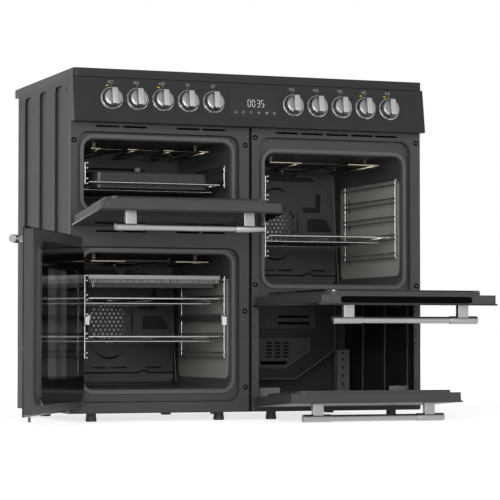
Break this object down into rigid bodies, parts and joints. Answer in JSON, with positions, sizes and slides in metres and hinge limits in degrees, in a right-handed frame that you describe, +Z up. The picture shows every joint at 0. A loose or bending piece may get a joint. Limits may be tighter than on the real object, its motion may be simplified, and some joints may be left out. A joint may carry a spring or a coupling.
{
  "type": "range cooker",
  "caption": "Free-standing range cooker with grill oven, side-hinged main oven, tall oven, storage flap, rotary knobs and ceramic hob.",
  "frame": {"origin": "on the floor, under the middle of the carcass front", "axes": "+X to the right as seen from the front, +Y to the back, +Z up"},
  "size_m": [1.2601, 1.042, 0.9205],
  "materials": {
    "carcass_enamel": "satin anthracite enamel",
    "oven_enamel": "glossy dark vitreous enamel",
    "panel_paint": "satin anthracite paint",
    "hob_glass": "polished black glass ceramic",
    "door_glass": "dark tinted toughened glass",
    "display_glass": "polished black glass",
    "handle_aluminium": "satin anodised",
    "knob_metal": "satin plated",
    "bezel_chrome": "bright plated",
    "rack_chrome": "bright plated wire",
    "tray_enamel": "speckled vitreous enamel",
    "element_steel": "heat-tinted steel tube",
    "zinc_steel": "galvanised sheet",
    "fan_steel": "pressed aluminium",
    "seal_rubber": "moulded silicone",
    "catalytic_coating": "rough catalytic coating",
    "switch_plastic": "moulded",
    "lamp_glass": "pressed clear glass",
    "foot_plastic": "moulded pad on a steel screw"
  },
  "bodies": {
    "carcass": {"base_frame": "zinc_steel", "catalytic_liners": "catalytic_coating", "centre_panels": "carcass_enamel", "control_panel": "panel_paint", "display_glass": "display_glass", "door_seals": "seal_rubber", "fan_covers": "oven_enamel", "fan_motors": "zinc_steel", "grill_oven_liner": "oven_enamel", "heating_elements": "element_steel", "hinge_brackets": "zinc_steel", "hob_elements": "element_steel", "hob_frame": "carcass_enamel", "hob_glass": "hob_glass", "knob_bezels": "bezel_chrome", "left_front_frame": "carcass_enamel", "left_side_panel": "carcass_enamel", "levelling_feet": "foot_plastic", "main_oven_liner": "oven_enamel", "oven_lamps": "lamp_glass", "rear_panel": "zinc_steel", "right_front_frame": "carcass_enamel", "right_side_panel": "carcass_enamel", "rotary_switches": "switch_plastic", "runner_rails": "zinc_steel", "side_racks": "rack_chrome", "storage_rear_cover": "carcass_enamel", "tall_oven_liner": "oven_enamel"},
    "grill_door": {"grill_door_frame": "carcass_enamel", "grill_door_glass": "door_glass", "grill_door_handle": "handle_aluminium"},
    "main_door": {"main_door_frame": "carcass_enamel", "main_door_glass": "door_glass", "main_door_handle": "handle_aluminium"},
    "tall_door": {"tall_door_frame": "carcass_enamel", "tall_door_glass": "door_glass", "tall_door_handle": "handle_aluminium"},
    "storage_flap": {"storage_flap_panel": "hob_glass", "storage_flap_liner": "carcass_enamel", "storage_flap_handle": "handle_aluminium"},
    "grill_shelf": {"grill_shelf": "rack_chrome", "grill_tray": "tray_enamel"},
    "upper_shelf": {"main_oven_shelf_upper": "rack_chrome"},
    "lower_shelf": {"main_oven_shelf_lower": "rack_chrome"},
    "roasting_tray": {"roasting_tray": "tray_enamel", "tray_grid": "rack_chrome"},
    "tall_shelf": {"tall_oven_shelf": "rack_chrome"},
    "runner_slides": {"runner_slides": "zinc_steel"},
    "main_fan": {"main_oven_fan": "fan_steel"},
    "tall_fan": {"tall_oven_fan": "fan_steel"},
    "knob_01": {"control_knob_01": "knob_metal"},
    "knob_02": {"control_knob_02": "knob_metal"},
    "knob_03": {"control_knob_03": "knob_metal"},
    "knob_04": {"control_knob_04": "knob_metal"},
    "knob_05": {"control_knob_05": "knob_metal"},
    "knob_06": {"control_knob_06": "knob_metal"},
    "knob_07": {"control_knob_07": "knob_metal"},
    "knob_08": {"control_knob_08": "knob_metal"},
    "knob_09": {"control_knob_09": "knob_metal"},
    "knob_10": {"control_knob_10": "knob_metal"}
  },
  "joints": [
    {"name": "grill_door_hinge", "type": "hinge", "parent": "carcass", "child": "grill_door", "pos_m": [-0.25215, -0.017, 0.523], "axis": [-1, 0, 0], "range_deg": [0, 83.5]},
    {"name": "main_door_hinge", "type": "hinge", "parent": "carcass", "child": "main_door", "pos_m": [-0.4895, -0.017, 0.25775], "axis": [0, 0, 1], "range_deg": [0, 120]},
    {"name": "tall_door_hinge", "type": "hinge", "parent": "carcass", "child": "tall_door", "pos_m": [0.25215, -0.017, 0.314], "axis": [-1, 0, 0], "range_deg": [0, 90]},
    {"name": "storage_flap_hinge", "type": "hinge", "parent": "carcass", "child": "storage_flap", "pos_m": [0.25215, -0.017, 0.048], "axis": [-1, 0, 0], "range_deg": [0, 86.5]},
    {"name": "grill_shelf_slide", "type": "slide", "parent": "carcass", "child": "grill_shelf", "axis": [0, 1, 0], "range_m": [-0.25, 0]},
    {"name": "upper_shelf_slide", "type": "slide", "parent": "carcass", "child": "upper_shelf", "axis": [0, 1, 0], "range_m": [-0.25, 0]},
    {"name": "lower_shelf_slide", "type": "slide", "parent": "carcass", "child": "lower_shelf", "axis": [0, 1, 0], "range_m": [-0.25, 0]},
    {"name": "roasting_tray_slide", "type": "slide", "parent": "carcass", "child": "roasting_tray", "axis": [0, 1, 0], "range_m": [-0.25, 0]},
    {"name": "tall_shelf_slide", "type": "slide", "parent": "carcass", "child": "tall_shelf", "axis": [0, 1, 0], "range_m": [-0.25, 0]},
    {"name": "runner_slide", "type": "slide", "parent": "carcass", "child": "runner_slides", "axis": [0, 1, 0], "range_m": [-0.25, 0]},
    {"name": "knob_01_turn", "type": "hinge", "parent": "carcass", "child": "knob_01", "pos_m": [-0.396, -0.02514, 0.84311], "axis": [0, -0.989, 0.1479], "range_deg": [-270, 0]},
    {"name": "knob_02_turn", "type": "hinge", "parent": "carcass", "child": "knob_02", "pos_m": [-0.3255, -0.02514, 0.84311], "axis": [0, -0.989, 0.1479], "range_deg": [-270, 0]},
    {"name": "knob_03_turn", "type": "hinge", "parent": "carcass", "child": "knob_03", "pos_m": [-0.255, -0.02514, 0.84311], "axis": [0, -0.989, 0.1479], "range_deg": [-270, 0]},
    {"name": "knob_04_turn", "type": "hinge", "parent": "carcass", "child": "knob_04", "pos_m": [-0.1845, -0.02514, 0.84311], "axis": [0, -0.989, 0.1479], "range_deg": [-270, 0]},
    {"name": "knob_05_turn", "type": "hinge", "parent": "carcass", "child": "knob_05", "pos_m": [-0.114, -0.02514, 0.84311], "axis": [0, -0.989, 0.1479], "range_deg": [-270, 0]},
    {"name": "knob_06_turn", "type": "hinge", "parent": "carcass", "child": "knob_06", "pos_m": [0.114, -0.02514, 0.84311], "axis": [0, -0.989, 0.1479], "range_deg": [-270, 0]},
    {"name": "knob_07_turn", "type": "hinge", "parent": "carcass", "child": "knob_07", "pos_m": [0.1845, -0.02514, 0.84311], "axis": [0, -0.989, 0.1479], "range_deg": [-270, 0]},
    {"name": "knob_08_turn", "type": "hinge", "parent": "carcass", "child": "knob_08", "pos_m": [0.255, -0.02514, 0.84311], "axis": [0, -0.989, 0.1479], "range_deg": [-270, 0]},
    {"name": "knob_09_turn", "type": "hinge", "parent": "carcass", "child": "knob_09", "pos_m": [0.3255, -0.02514, 0.84311], "axis": [0, -0.989, 0.1479], "range_deg": [-270, 0]},
    {"name": "knob_10_turn", "type": "hinge", "parent": "carcass", "child": "knob_10", "pos_m": [0.396, -0.02514, 0.84311], "axis": [0, -0.989, 0.1479], "range_deg": [-270, 0]},
    {"name": "main_fan_spin", "type": "hinge", "parent": "carcass", "child": "main_fan", "pos_m": [-0.25665, 0.48, 0.264], "axis": [0, 1, 0], "continuous": true},
    {"name": "tall_fan_spin", "type": "hinge", "parent": "carcass", "child": "tall_fan", "pos_m": [0.24765, 0.48, 0.548], "axis": [0, 1, 0], "continuous": true}
  ]
}
